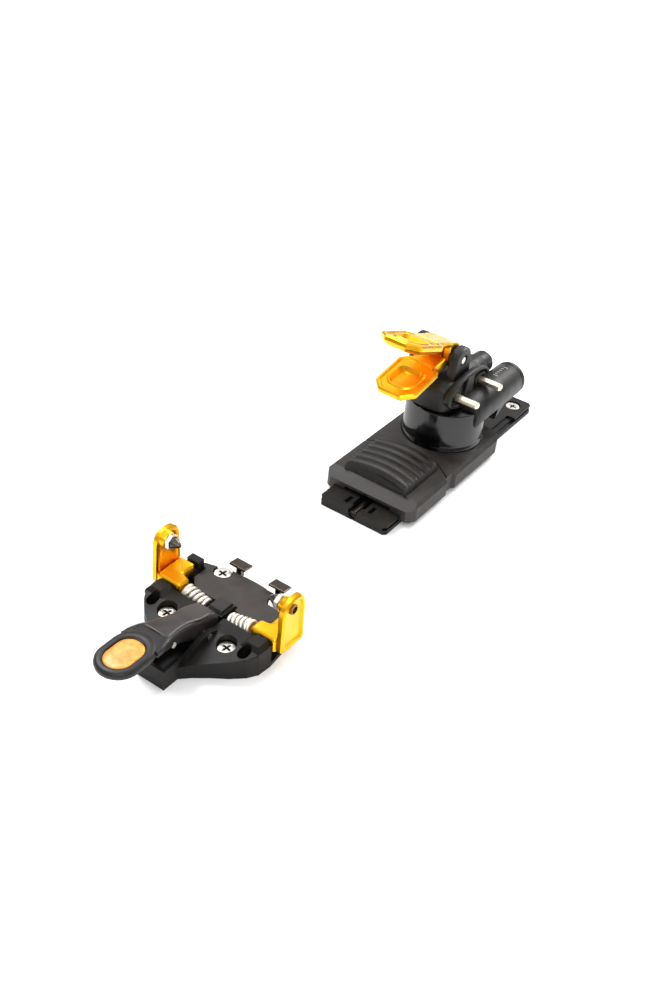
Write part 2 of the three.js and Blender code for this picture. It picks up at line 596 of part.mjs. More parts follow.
// Lower lifter: paddle ahead of the axle, barrel with a bore at the axle.
function lowerLifter() {
  const paddle = slab(paddleOutline(20, 56.5, 14), 0.2, 6.2);
  const dish = slab([[28, -7.5], [44, -7.5], [47.5, -4], [47.5, 4], [44, 7.5], [28, 7.5]], 3.6, 9);
  const neck = box(-1, 27, -9.6, 9.6, -4, 4);
  const barrel = rodY(0, 0, 4.6, -9.6, 9.6, 28);
  const taper = side([[0, -4.6], [12, -4.6], [26, 0.2], [26, 4], [0, 4.6]], -9.6, 9.6);
  const bore = rodY(0, 0, LIFT_AXLE_R + GAP, -20, 20, 24);
  const body = lifterPlace(cut(join(paddle, barrel, taper, neck), dish, bore), 9.5);
  return cut(body, box(-10, 17.5, -30, 12, 50, HOUSING_TOP_Z + GAP), upperClear());
}

// Room the upper lifter's barrels need beside the lower lifter's.
function upperClear() {
  const ring = join(rodY(0, 0, 7.3, 5.1, 9.9, 28), rodY(0, 0, 7.3, -9.9, -5.1, 28));
  return ring.translate([LIFT_X, LIFT_Y, LIFT_Z]);
}

// Upper lifter: raised paddle that stands on two side lugs.
function upperLifter() {
  const paddle = slab(paddleOutline(24, 63.5, 14), 2.6, 8.6);
  const dish = slab([[33, -7.5], [50, -7.5], [53.5, -4], [53.5, 4], [50, 7.5], [33, 7.5]], 6, 12);
  const neck = slab([[0, -9.6], [30, -9.6], [30, 9.6], [0, 9.6]], 5.3, 8.6);
  const lug = join(rodY(0, 0, 7, 5.4, 9.6, 28), side([[-5, 0], [-1, 8.6], [9, 8.6], [6.6, 0]], 5.4, 9.6));
  const bore = rodY(0, 0, LIFT_AXLE_R + GAP, -20, 20, 24);
  const lower = join(rodY(0, 0, 5, -5.1, 5.1, 28));
  return lifterPlace(cut(join(paddle, neck, both(lug)), dish, bore, lower), -21.4);
}

function lifterAxle() {
  return rodY(LIFT_X, LIFT_Z, LIFT_AXLE_R, -24.2, 8.2, 24);
}

add('heel_track', heelTrack(), moulding);
add('heel_carriage', carriage(), moulding);
add('lead_screw', leadScrew(), steel);
add('heel_pad', heelPad(), moulding);
add('turret_post', turretPost(), steel);
add('turret_drum', turretDrum(), gloss);
add('heel_housing', heelHousing(), moulding);
add('heel_pin_front', heelPin(1), champagne);
add('heel_pin_rear', heelPin(-1), champagne);
add('release_spring_lateral', coilX(BARREL[0], BARREL[1], 4.6, 0.8, BARREL_END_X + 10, -10.6, 8), steel);
add('release_plunger_lateral', springPlunger(), steel);
add('release_cap_lateral', barrelCap(), moulding);
add('release_spring_vertical', coilX(REAR_BOSS[0], REAR_BOSS[1], 4, 0.8, -35, -26.8, 3), steel);
add('release_plunger_vertical', rearPlunger(), steel);
add('release_cap_vertical', rearCap(), moulding);
add('lifter_lower', lowerLifter(), gold);
add('lifter_upper', upperLifter(), gold);
add('lifter_axle', lifterAxle(), steel);
TRACK_SCREWS.forEach(([x, y], i) => {
  add(`track_screw_${i + 1}`, skiScrew(x, y, 5.3), steel);
});

export default group;
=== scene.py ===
import json
import math

import bpy
import numpy as np
from mathutils import Matrix, Vector


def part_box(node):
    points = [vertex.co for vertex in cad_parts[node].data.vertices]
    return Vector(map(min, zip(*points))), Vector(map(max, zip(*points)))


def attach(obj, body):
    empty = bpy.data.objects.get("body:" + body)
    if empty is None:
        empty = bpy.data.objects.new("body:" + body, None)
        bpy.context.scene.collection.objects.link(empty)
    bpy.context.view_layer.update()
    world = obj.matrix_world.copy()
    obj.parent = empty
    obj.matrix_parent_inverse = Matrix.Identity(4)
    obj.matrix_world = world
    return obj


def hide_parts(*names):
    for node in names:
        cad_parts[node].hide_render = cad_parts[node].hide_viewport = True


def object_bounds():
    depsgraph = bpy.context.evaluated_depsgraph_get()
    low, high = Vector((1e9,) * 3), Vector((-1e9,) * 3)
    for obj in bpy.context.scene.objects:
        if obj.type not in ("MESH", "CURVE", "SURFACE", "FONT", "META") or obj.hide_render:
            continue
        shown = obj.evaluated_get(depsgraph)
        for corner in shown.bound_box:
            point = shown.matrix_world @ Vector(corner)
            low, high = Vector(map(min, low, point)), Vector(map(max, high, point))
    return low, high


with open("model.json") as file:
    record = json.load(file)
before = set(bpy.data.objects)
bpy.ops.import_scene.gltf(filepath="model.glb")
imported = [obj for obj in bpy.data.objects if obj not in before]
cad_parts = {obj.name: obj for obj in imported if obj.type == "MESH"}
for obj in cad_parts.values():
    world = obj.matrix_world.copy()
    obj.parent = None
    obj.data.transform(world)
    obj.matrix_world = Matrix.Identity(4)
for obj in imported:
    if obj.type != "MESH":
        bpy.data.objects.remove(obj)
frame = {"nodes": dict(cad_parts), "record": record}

nodes = frame["nodes"]
cad_low, cad_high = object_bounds()

# ---------------------------------------------------------------- board, light and camera
# A plain matt white board stands in for the table the binding is laid out on.
# A 42 mm lens looks down from ahead and to the left of the toe unit.


def linear(code):
    """sRGB hex to linear RGBA: c/12.92 below 0.04045, else ((c + 0.055)/1.055) to the 2.4."""
    c = np.array([int(code[i:i + 2], 16) for i in (0, 2, 4)]) / 255
    c = np.where(c <= 0.04045, c / 12.92, ((c + 0.055) / 1.055) ** 2.4)
    return (*map(float, c), 1.0)


def add_node(material, kind, settings=None, links=None):
    """Adds one shader node, sets its inputs or properties, and joins inputs to other sockets."""
    made = material.node_tree.nodes.new(kind)
    for key, value in (settings or {}).items():
        if isinstance(key, int) or key in made.inputs:
            made.inputs[key].default_value = value
        else:
            setattr(made, key, value)
    for key, socket in (links or {}).items():
        material.node_tree.links.new(made.inputs[key], socket)
    return made


def blank(name):
    """A node material with nothing in it yet."""
    material = bpy.data.materials.new(name)
    material.use_nodes = True
    material.node_tree.nodes.clear()
    return material


board_mat = blank("matt_white_board")
board_face = add_node(board_mat, "ShaderNodeBsdfPrincipled", {
    "Base Color": linear("FFFFFF"), "Roughness": 0.9, "Specular IOR Level": 0.1})
add_node(board_mat, "ShaderNodeOutputMaterial", {}, {"Surface": board_face.outputs[0]})
board = bpy.data.objects.new("board", bpy.data.meshes.new("board"))
board.data.from_pydata([(-4, -4, cad_low.z), (4, -4, cad_low.z), (4, 4, cad_low.z), (-4, 4, cad_low.z)],
                       [], [(0, 1, 2, 3)])
board.data.materials.append(board_mat)
bpy.context.scene.collection.objects.link(board)

world = bpy.data.worlds.new("studio")
bpy.context.scene.world = world
world.use_nodes = True
sky = world.node_tree.nodes["Background"]
sky.inputs[0].default_value = (1, 1, 1, 1)
way = add_node(world, "ShaderNodeSeparateXYZ", {}, {
    "Vector": add_node(world, "ShaderNodeTexCoord").outputs["Generated"]})
height = add_node(world, "ShaderNodeMapRange", {1: 0.05, 2: 0.8, 3: 0.22, 4: 1.25}, {0: way.outputs[2]})
world.node_tree.links.new(sky.inputs[1], height.outputs[0])
bpy.context.scene.view_settings.view_transform = "Standard"


def softbox(name, place, aim, size, power):
    """A square soft light at place, turned to face aim."""
    lamp = bpy.data.lights.new(name, "AREA")
    lamp.size, lamp.energy = size, power
    holder = bpy.data.objects.new(name, lamp)
    holder.location = place
    holder.rotation_euler = (Vector(aim) - Vector(place)).to_track_quat("-Z", "Y").to_euler()
    bpy.context.scene.collection.objects.link(holder)


middle = (cad_low + cad_high) / 2
softbox("key", middle + Vector((-0.1, -0.6, 0.9)), middle, 0.35, 7.5)
softbox("fill", middle + Vector((0.8, 0.7, 0.7)), middle, 0.5, 4.0)
softbox("rim", middle + Vector((-0.8, 0.1, 0.5)), middle, 0.3, 5.0)

AZ, EL, ROLL = math.radians(32.25), math.radians(36.6), math.radians(-5.85)
back = Vector((math.cos(AZ) * math.cos(EL), math.sin(AZ) * math.cos(EL), math.sin(EL)))
across = (-back).cross(Vector((0, 0, 1))).normalized()
down = (-back).cross(across)
cam_x = across * math.cos(ROLL) + down * math.sin(ROLL)
cam_y = across * math.sin(ROLL) - down * math.cos(ROLL)
camera = bpy.data.objects.new("camera", bpy.data.cameras.new("camera"))
camera.data.lens, camera.data.sensor_width = 41.9, 36
camera.data.clip_start = 0.01
spot = Vector((0.0929, -0.0226, 0.0)) + back * 0.68939
camera.matrix_world = Matrix((
    (cam_x.x, cam_y.x, back.x, spot.x), (cam_x.y, cam_y.y, back.y, spot.y),
    (cam_x.z, cam_y.z, back.z, spot.z), (0, 0, 0, 1)))
bpy.context.scene.collection.objects.link(camera)
bpy.context.scene.camera = camera

# ---------------------------------------------------------------- toe base and cover
# The toe unit stands on one black nylon moulding with a trough at the front, and a
# charcoal cover plate lies over its rear. Both are injection moulded with a fine grain.


def moulded_nylon(name, dark, light, grain=0.9, rough=0.5, bump=0.2, gloss=0.3):
    """Black glass-filled nylon, moulded against a spark-eroded tool: grain is drawn grain mm
    across, coarser than the real 0.1 mm so that it shows, over a faint 9 mm flow mottling."""
    m = blank(name)
    place = add_node(m, "ShaderNodeTexCoord").outputs["Object"]
    fine = add_node(m, "ShaderNodeTexNoise", {"Scale": 1000 / grain, "Detail": 3.0}, {"Vector": place})
    flow = add_node(m, "ShaderNodeTexNoise", {"Scale": 1000 / 9, "Detail": 4.0}, {"Vector": place})
    spread = add_node(m, "ShaderNodeMapRange", {1: 0.35, 2: 0.65}, {0: flow.outputs[0]})
    body = add_node(m, "ShaderNodeMix", {"data_type": "RGBA", 6: linear(dark), 7: linear(light)},
                    {0: spread.outputs[0]})
    shine = add_node(m, "ShaderNodeMapRange", {1: 0.3, 2: 0.7, 3: rough - 0.08, 4: rough + 0.08},
                     {0: flow.outputs[0]})
    relief = add_node(m, "ShaderNodeBump", {"Strength": bump, "Distance": 0.0001},
                      {"Height": fine.outputs[0]})
    face = add_node(m, "ShaderNodeBsdfPrincipled", {"IOR": 1.53, "Specular IOR Level": gloss},
                    {"Base Color": body.outputs[2], "Roughness": shine.outputs[0],
                     "Normal": relief.outputs[0]})
    add_node(m, "ShaderNodeOutputMaterial", {}, {"Surface": face.outputs[0]})
    return m


slot_of_node = {s["node"]: s["material_slot"] for s in frame["record"]["subparts"]}
black_nylon = moulded_nylon("black_nylon_fine_grain", "0B0A09", "181513", gloss=0.2)
cover_nylon = moulded_nylon("charcoal_nylon_cover", "2B2624", "38322F", 0.8, 0.55, 0.3)


def keep_cad(names, material, radius=0.0, corner=28):
    """Keeps CAD nodes as they are, in material, and rounds edges sharper than corner to radius."""
    for name in names:
        obj = nodes[name]
        obj.data.materials.clear()
        obj.data.materials.append(material)
        if radius:
            weld = obj.modifiers.new("join_faces", "WELD")
            weld.merge_threshold = 2e-6
            flat = obj.modifiers.new("whole_flats", "DECIMATE")
            flat.decimate_type = "DISSOLVE"
            flat.angle_limit = math.radians(0.6)
            edge = obj.modifiers.new("moulded_edge", "BEVEL")
            edge.width, edge.segments, edge.limit_method = radius, 2, "ANGLE"
            edge.angle_limit = math.radians(corner)
            edge.use_clamp_overlap = True
            edge.miter_outer = "MITER_ARC"


keep_cad(["toe_base"], black_nylon, 0.0006)
keep_cad(["toe_cover"], cover_nylon, 0.0005)
pin_low, pin_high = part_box("toe_pin_left")
toe_x = 500 * (pin_low.x + pin_high.x)  # the toe pin line, in mm, from which toe places are measured
PIN_Z = 500 * (pin_low.z + pin_high.z)

# ---------------------------------------------------------------- pin arms
# Two aluminium arms, milled, bead blasted and anodised gold: an upright plate with a
# pocket on each face, and a foot that turns on a steel axle in the base.


def anodised(name, colour, deep, rough=0.26):
    """Gold anodised aluminium, milled then bead blasted: 0.5 mm soft bead texture, with the
    dye a little deeper in 12 mm clouds."""
    m = blank(name)
    place = add_node(m, "ShaderNodeTexCoord").outputs["Object"]
    bead = add_node(m, "ShaderNodeTexNoise", {"Scale": 1000 / 0.5, "Detail": 2.0}, {"Vector": place})
    cloud = add_node(m, "ShaderNodeTexNoise", {"Scale": 1000 / 12, "Detail": 3.0}, {"Vector": place})
    spread = add_node(m, "ShaderNodeMapRange", {1: 0.3, 2: 0.7}, {0: cloud.outputs[0]})
    tint = add_node(m, "ShaderNodeMix", {"data_type": "RGBA", 6: linear(deep), 7: linear(colour)},
                    {0: spread.outputs[0]})
    shine = add_node(m, "ShaderNodeMapRange", {1: 0.3, 2: 0.7, 3: rough - 0.05, 4: rough + 0.08},
                     {0: cloud.outputs[0]})
    relief = add_node(m, "ShaderNodeBump", {"Strength": 0.1, "Distance": 0.00005},
                      {"Height": bead.outputs[0]})
    face = add_node(m, "ShaderNodeBsdfPrincipled", {"Metallic": 1.0},
                    {"Base Color": tint.outputs[2], "Roughness": shine.outputs[0],
                     "Normal": relief.outputs[0]})
    add_node(m, "ShaderNodeOutputMaterial", {}, {"Surface": face.outputs[0]})
    return m


gold = anodised("gold_anodised_aluminium", "FBC02C", "F2AC18", 0.3)


def outline(points, rounding, inset=0.0, count=144, centre=None):
    """Rounded shape as count points at equal angles round centre. Each side first moves inwards
    by inset mm, then each corner is a quadratic curve that starts and ends rounding - inset mm
    from it (one value, or one for each corner), and last the curve is cut by equal angles."""
    p = np.asarray(points, float)
    centre = p.mean(0) if centre is None else np.asarray(centre, float)
    side = np.roll(p, -1, 0) - p
    normal = np.stack([-side[:, 1], side[:, 0]], 1) / np.linalg.norm(side, axis=1)[:, None]
    last = np.roll(normal, 1, 0)
    p = p + inset * (normal + last) / (1 + (normal * last).sum(1))[:, None]
    before, after = np.roll(p, 1, 0) - p, np.roll(p, -1, 0) - p
    lb, la = np.linalg.norm(before, axis=1)[:, None], np.linalg.norm(after, axis=1)[:, None]
    r = np.maximum(np.broadcast_to(rounding, len(p)) - inset, 0.3)[:, None]
    start, end = p + before / lb * np.minimum(r, lb * 0.49), p + after / la * np.minimum(r, la * 0.49)
    t = np.linspace(0, 1, 12)[None, :, None]
    curve = (1 - t) ** 2 * start[:, None] + 2 * t * (1 - t) * p[:, None] + t ** 2 * end[:, None]
    curve = curve.reshape(-1, 2)
    run = np.linspace(0, 1, 12, endpoint=False)[None, :, None]
    dense = (curve[:, None] + (np.roll(curve, -1, 0) - curve)[:, None] * run).reshape(-1, 2) - centre
    angle, reach = np.arctan2(dense[:, 1], dense[:, 0]), np.hypot(dense[:, 0], dense[:, 1])
    order = np.argsort(angle)
    a = np.linspace(0, 2 * np.pi, count, endpoint=False)
    r = np.interp(a, angle[order], reach[order], period=2 * np.pi)
    return np.stack([r * np.cos(a), r * np.sin(a)], 1) + centre


def loft(name, rings, material, body, replaced=(), sharp=30):
    """A skin over a stack of closed rings, given in mm: ring i, point j joins ring i + 1 and
    point j + 1. End rings are capped flat, and faces turn outwards where the volume is negative."""
    rings = np.asarray(rings, float) / 1000
    k, n = rings.shape[:2]
    i, j = np.meshgrid(np.arange(k - 1), np.arange(n), indexing="ij")
    i2, j2 = i + 1, (j + 1) % n
    quads = np.stack([i * n + j, i * n + j2, i2 * n + j2, i2 * n + j], -1).reshape(-1, 4)
    p = rings.reshape(-1, 3)
    middle_point = p.mean(0)
    q = p[quads] - middle_point
    volume = (np.cross(q[:, 0], q[:, 1]) * q[:, 2]).sum() + (np.cross(q[:, 0], q[:, 2]) * q[:, 3]).sum()
    caps = [np.arange(n)[::-1], np.arange((k - 1) * n, k * n)]
    for cap in caps:
        c = p[cap] - middle_point
        volume += (np.cross(c[0], c[1:-1]) * c[2:]).sum()
    faces = quads.tolist() + [cap.tolist() for cap in caps]
    if volume < 0:
        faces = [face[::-1] for face in faces]
    mesh = bpy.data.meshes.new(name)
    mesh.from_pydata(p.tolist(), [], faces)
    mesh.shade_smooth()
    mesh.set_sharp_from_angle(angle=math.radians(sharp))
    mesh.materials.append(material)
    made = bpy.data.objects.new(name, mesh)
    bpy.context.scene.collection.objects.link(made)
    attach(made, body)
    if replaced:
        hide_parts(*replaced)
    return made


def turned(name, profile, centre, axis, material, body, replaced=(), count=64, sharp=30):
    """Surface of revolution: profile is (distance along the axis, radius) pairs in mm, and
    centre is the other two coordinates of the axis, in x, y, z order."""
    a = np.linspace(0, 2 * np.pi, count, endpoint=False)
    d, r = np.asarray(profile, float).T
    u, v = r[:, None] * np.cos(a) + centre[0], r[:, None] * np.sin(a) + centre[1]
    w = np.repeat(d[:, None], count, 1)
    rings = {"X": (w, u, v), "Y": (u, w, v), "Z": (u, v, w)}[axis]
    return loft(name, np.stack(rings, -1), material, body, replaced, sharp)


arm_face = [[-12, 8.8], [6.8, 8.8], [6.4, 41], [-11, 41]]
arm_round = [3, 3.5, 9, 9.5]
foot_face = [[7.3, 22.9], [7.3, 38.9], [-12, 38.9], [-12, 28.4], [-2.2, 28.4], [-1.2, 22.9]]
for side, sign in (("left", 1), ("right", -1)):
    plate = []
    for inset, y in ((4.6, 39.4), (3.2, 39.25), (2.6, 38.9), (2.3, 38.4), (0.9, 38.4), (0, 39.2),
                     (0, 41.7), (0.9, 42.6), (2.2, 42.6), (2.8, 41.5), (4.5, 41.3)):
        ring = outline(arm_face, arm_round, inset, 160, (-2.2, 25))
        plate.append(np.stack([ring[:, 0] + toe_x, 0 * ring[:, 0] + sign * y, ring[:, 1]], -1))
    loft("arm_plate_" + side, plate, gold, "arm_" + side, ["arm_" + side])
    foot = []
    for inset, z in ((1.0, 8.6), (0, 9.6), (0, 15.4), (0.5, 16.6), (1.5, 17.4)):
        ring = outline(foot_face, 2.4, inset, 160, (0.5, 33))
        foot.append(np.stack([ring[:, 0] + toe_x, sign * ring[:, 1], 0 * ring[:, 0] + z], -1))
    loft("arm_foot_" + side, foot, gold, "arm_" + side)
    turned("pin_boss_" + side,
           [(sign * y, r) for y, r in ((39.5, 5.4), (38.2, 4.8), (36.6, 4.4), (36.0, 3.9))],
           (toe_x, PIN_Z), "Y", gold, "arm_" + side)

# ---------------------------------------------------------------- toe pins, axles and ski screws
# Hardened turned pins stand in bright hexagonal collars and are riveted through the arms.
# Zinc plated cross-head ski screws hold the base down.


def plated(name, colour, rough=0.25, patch=3.0, metallic=1.0):
    """Plated steel, turned: bright metal with faint clouds patch mm wide in its roughness."""
    m = blank(name)
    place = add_node(m, "ShaderNodeTexCoord").outputs["Object"]
    cloud = add_node(m, "ShaderNodeTexNoise", {"Scale": 1000 / patch, "Detail": 4.0}, {"Vector": place})
    shine = add_node(m, "ShaderNodeMapRange", {1: 0.3, 2: 0.7, 3: rough - 0.06, 4: rough + 0.12},
                     {0: cloud.outputs[0]})
    relief = add_node(m, "ShaderNodeBump", {"Strength": 0.05, "Distance": 0.00005},
                      {"Height": cloud.outputs[0]})
    face = add_node(m, "ShaderNodeBsdfPrincipled", {"Base Color": linear(colour), "Metallic": metallic},
                    {"Roughness": shine.outputs[0], "Normal": relief.outputs[0]})
    add_node(m, "ShaderNodeOutputMaterial", {}, {"Surface": face.outputs[0]})
    return m


zinc = plated("zinc_plated_steel", "DEDBD4", 0.3)
tool_steel = plated("hardened_tool_steel", "57504A", 0.28)
keep_cad([n for n in slot_of_node if slot_of_node[n] == "zinc_steel"], zinc)
keep_cad(["crampon_hook_left", "crampon_hook_right"], tool_steel, 0.0003)
keep_cad(["pin_nut_left", "pin_nut_right"], plated("bronze_passivated_rivet", "8E7138", 0.35))
for side, sign in (("left", 1), ("right", -1)):
    turned("toe_pin_tip_" + side, [(sign * y, r) for y, r in (
        (28.7, 0.2), (28.75, 0.9), (29.1, 1.25), (32.4, 3.0), (32.9, 3.15), (35.0, 3.15), (35.0, 1.7),
        (42.4, 1.7))],
        (toe_x, PIN_Z), "Y", tool_steel, "arm_" + side, ["toe_pin_" + side], 48)


# Near-black sheets in the screw recesses, pin slots and coin slot are painted shade.
painted_shade_black = moulded_nylon("painted_shade_recess_black", "020202", "050505", 1.0, 0.8, 0.0, 0.1)


def cross_screw(node, body):
    """Countersunk head whose cross recess is a four-lobed star: radius 1.9 + 1.05 cos 4a at
    the face, narrowing to 1.2 + 0.7 cos 4a on its floor, which is painted shade."""
    low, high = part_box(node)
    x, y, top = 500 * (low.x + high.x), 500 * (low.y + high.y), 1000 * high.z
    a = np.linspace(0, 2 * np.pi, 64, endpoint=False)

    def star(r, lobe, drop):
        reach = r + lobe * np.cos(4 * a + 0.6)
        return np.stack([x + reach * np.cos(a), y + reach * np.sin(a), 0 * a + top - drop], -1)

    loft(node + "_head", [star(*row) for row in (
        (2.5, 0, 3.2), (4.7, 0, 1.0), (4.75, 0, 0.5), (4.5, 0, 0.06), (4.2, 0, 0), (2.8, 0.6, 0),
        (1.9, 1.05, 0.04), (1.7, 1.0, 0.5), (1.2, 0.7, 1.6))], zinc, body, [node], 40)
    # The near-black sheet down in the recess is painted shade.
    loft(node + "_recess", [star(1.64, 0.98, drop) for drop in (1.2, 0.45)], painted_shade_black, body)


for node in slot_of_node:
    if "screw" in node and node != "lead_screw":
        cross_screw(node, "base")

# ---------------------------------------------------------------- arm springs
# Two nickel plated coil springs per unit, 1.9 mm wire with ground ends, push the arms
# against the centre block.
spring_nickel = plated("nickel_plated_spring", "F1ECE0", 0.38, 5.0, 0.85)
for side, sign in (("left", 1), ("right", -1)):
    run = np.linspace(0, 1, 6 * 28)
    start, end = np.array([3.2, 22.0, 12.5]), np.array([3.2, 8.0, 9.4])
    line = (end - start) / np.linalg.norm(end - start)
    up = np.cross(line, [1, 0, 0])
    turn = 2 * np.pi * 5.6 * run
    pace = np.clip((run - 0.09) / 0.82, 0, 1)
    spread = pace * (np.linalg.norm(end - start) - 1.9) + 0.95
    out = np.cos(turn)[:, None] * np.array([1.0, 0, 0]) + np.sin(turn)[:, None] * up
    middle_line = start + spread[:, None] * line + 3.7 * out
    b = np.linspace(0, 2 * np.pi, 14, endpoint=False)
    rings = middle_line[:, None] + 0.95 * (np.cos(b)[None, :, None] * out[:, None] +
                                           np.sin(b)[None, :, None] * line)
    rings[:, :, 0] += toe_x
    rings[:, :, 1] *= sign
    loft("toe_spring_" + side, rings, spring_nickel, "spring_" + side,
         ["arm_spring_" + side], 60)

# ---------------------------------------------------------------- lever
# The nylon lever arches from the centre block over the trough to an oval grip. A thin
# cover plate is snapped on its back, and an amber insert fills the grip.
stations = np.array([  # forward of the pin line, underside, top, half width
    (10.4, 11.0, 15.6, 5.0), (10.9, 9.8, 18.2, 6.2), (13, 9.0, 20.6, 6.9), (18, 8.7, 22.4, 7.0),
    (24, 9.2, 24.2, 7.0), (28, 11.0, 25.4, 7.0), (32, 14.6, 26.5, 7.0), (37, 17.4, 28.0, 7.1),
    (42, 20.2, 29.4, 7.6), (47, 23.0, 30.9, 8.8), (52, 25.6, 32.0, 10.2), (57, 27.4, 32.4, 11.3),
    (61, 28.2, 32.4, 11.6)])
a = np.linspace(0, 2 * np.pi, 72, endpoint=False)
squarish = np.stack([np.cos(a), np.sin(a)])
squarish = np.sign(squarish) * np.abs(squarish) ** 0.45
fine = np.linspace(10.4, 61, 44)
low_line, top_line, half = (np.interp(fine, stations[:, 0], stations[:, i])[:, None] for i in (1, 2, 3))
rings = np.stack([np.repeat(fine[:, None] + toe_x, 72, 1), half * squarish[0],
                  (low_line + top_line) / 2 + (top_line - low_line) / 2 * squarish[1]], -1)
lever_nylon = moulded_nylon("lever_black_nylon", "0D0B0B", "1B1716", 0.8, 0.45, 0.15, 0.35)
loft("lever_arch", rings, lever_nylon, "lever", ["toe_lever"], 40)


def oval(low, high, radius, height, count=140):
    """A flat ring round the grip: a straight-sided oval from low to high along X."""
    end = np.linspace(-np.pi / 2, np.pi / 2, count // 2)
    x = np.concatenate([high - radius + radius * np.cos(end), low + radius - radius * np.cos(end)])
    y = np.concatenate([radius * np.sin(end), -radius * np.sin(end)])
    return np.stack([x + toe_x, y, np.full(len(x), height)], -1)


grip = [(2.4, 28.0), (1.0, 28.2), (0.2, 29.0), (0, 30.2), (0.2, 31.4), (0.8, 32.2), (1.6, 32.6), (3.0, 32.6)]
rim = [(0, 32.6), (0.3, 32.2), (0.4, 29.6)]
loft("lever_grip", [oval(54.7 + e, 86.1 - e, 11.7 - e, z) for e, z in grip] +
     [oval(60.0 + e, 82.4 - e, 7.9 - e, z) for e, z in rim], lever_nylon, "lever", sharp=60)


def amber_insert(name):
    """Amber TPU insert, moulded: orange body with 4 mm cloudy streaks and a satin skin."""
    m = blank(name)
    place = add_node(m, "ShaderNodeTexCoord").outputs["Object"]
    cloud = add_node(m, "ShaderNodeTexNoise", {"Scale": 1000 / 4, "Detail": 6.0, "Roughness": 0.65},
                     {"Vector": place})
    spread = add_node(m, "ShaderNodeMapRange", {1: 0.35, 2: 0.65}, {0: cloud.outputs[0]})
    tint = add_node(m, "ShaderNodeMix", {"data_type": "RGBA", 6: linear("CF8228"), 7: linear("EFB055")},
                    {0: spread.outputs[0]})
    relief = add_node(m, "ShaderNodeBump", {"Strength": 0.25, "Distance": 0.0001},
                      {"Height": cloud.outputs[0]})
    face = add_node(m, "ShaderNodeBsdfPrincipled", {
        "Roughness": 0.35, "IOR": 1.5, "Subsurface Weight": 0.15, "Subsurface Scale": 0.002},
        {"Base Color": tint.outputs[2], "Normal": relief.outputs[0]})
    add_node(m, "ShaderNodeOutputMaterial", {}, {"Surface": face.outputs[0]})
    return m


amber = amber_insert("amber_tpu_insert")
insert = [(0.3, 29.9), (0, 31.4), (0.2, 31.9), (0.9, 32.2), (2.4, 32.4), (4.5, 32.5)]
loft("grip_insert", [oval(60.4 + e, 82.0 - e, 7.5 - e, z) for e, z in insert],
     amber, "lever", ["lever_inlay"], 50)

plate_shape = [[14.4, -5.6], [24, -6.4], [33, -5.2], [41, -6.0], [51, -8.4], [51, 8.4], [41, 6.0], [33, 5.2],
               [24, 6.4], [14.4, 5.6]]
plate = []
for inset, h in ((0.3, -1.0), (0, -0.2), (0, 0.35), (0.4, 0.7), (1.2, 0.8)):
    ring = outline(plate_shape, 3.0, inset, 160, (31, 0))
    crest = np.interp(ring[:, 0], stations[:, 0], stations[:, 2])
    plate.append(np.stack([ring[:, 0] + toe_x, ring[:, 1], crest + h - 0.012 * ring[:, 1] ** 2], -1))
plate_nylon = moulded_nylon("lever_plate_nylon", "2A2524", "3A3332", 0.8, 0.42, 0.15, 0.4)
loft("lever_back_plate", plate, plate_nylon, "lever", ["lever_plate"], 40)
keep_cad(["centre_block"], lever_nylon, 0.0006)

# ---------------------------------------------------------------- track and carriage
# The heel unit slides on a nylon track that four ski screws hold down. A long screw
# under the carriage sets its place for the boot's length.
keep_cad(["heel_track"], black_nylon, 0.0005)
carriage_nylon = moulded_nylon("carriage_charcoal_nylon", "1E1A18", "2D2825", 0.8, 0.5, 0.25, 0.4)
keep_cad(["heel_carriage"], carriage_nylon, 0.0006)
dark_screw = plated("blackened_steel_screw", "3A3532", 0.35)
keep_cad(["lead_screw"], dark_screw)

# ---------------------------------------------------------------- heel pad
# Ridged heel rest, moulded nylon, clipped into the carriage. Its five ridges bow to the
# rear, as a boot heel does.
# On a grid of s from rear to front and y across, both ends and every ridge are set back by
# a parabola in y, each ridge is a power of a sine in s, and the last 0.8 mm rolls down.
PAD_HALF, RIDGES, PAD_FOOT, ROLL_OVER = 21.3, 5.2, 15.2, 0.8
s, y = np.meshgrid(np.linspace(0, 1, 150), np.linspace(-PAD_HALF, PAD_HALF, 60), indexing="ij")
bow = 1 - (y / PAD_HALF) ** 2
x = (41.5 - 3.8 * bow) * (1 - s) + (77.2 - 4.2 * bow) * s
ridge = 1.8 * np.abs(np.sin(np.pi * (RIDGES * s + 0.1))) ** 0.55
edge = np.minimum((PAD_HALF - np.abs(y)) / ROLL_OVER, np.minimum(s, 1 - s) * 36 / ROLL_OVER)
z = 18.0 + 0.7 * bow + (1.0 + ridge) * np.clip(edge, 0, 1) ** 0.5
top_side = np.stack([x, y, z], -1)
under = top_side[:, ::-1].copy()
under[:, :, 2] = PAD_FOOT
pad_nylon = moulded_nylon("heel_pad_nylon", "121010", "1E1A19", 0.7, 0.5, 0.3, 0.35)
loft("heel_rest", np.concatenate([top_side, under], 1), pad_nylon, "carriage", ["heel_pad"], 35)

# ---------------------------------------------------------------- turret drum
# The heel unit turns on this polished black drum, over a steel post in the carriage.
drum_black = moulded_nylon("polished_black_drum", "040303", "070606", 2.0, 0.16, 0.0, 0.5)
turned("drum_shell", [(15.4, 26.2), (16.2, 26.1), (17.4, 25.4), (18.6, 25.05), (39.6, 25.0), (40.3, 24.7),
                      (40.6, 24.1)], (0, 0), "Z", drum_black, "turret", ["turret_drum"], 128)

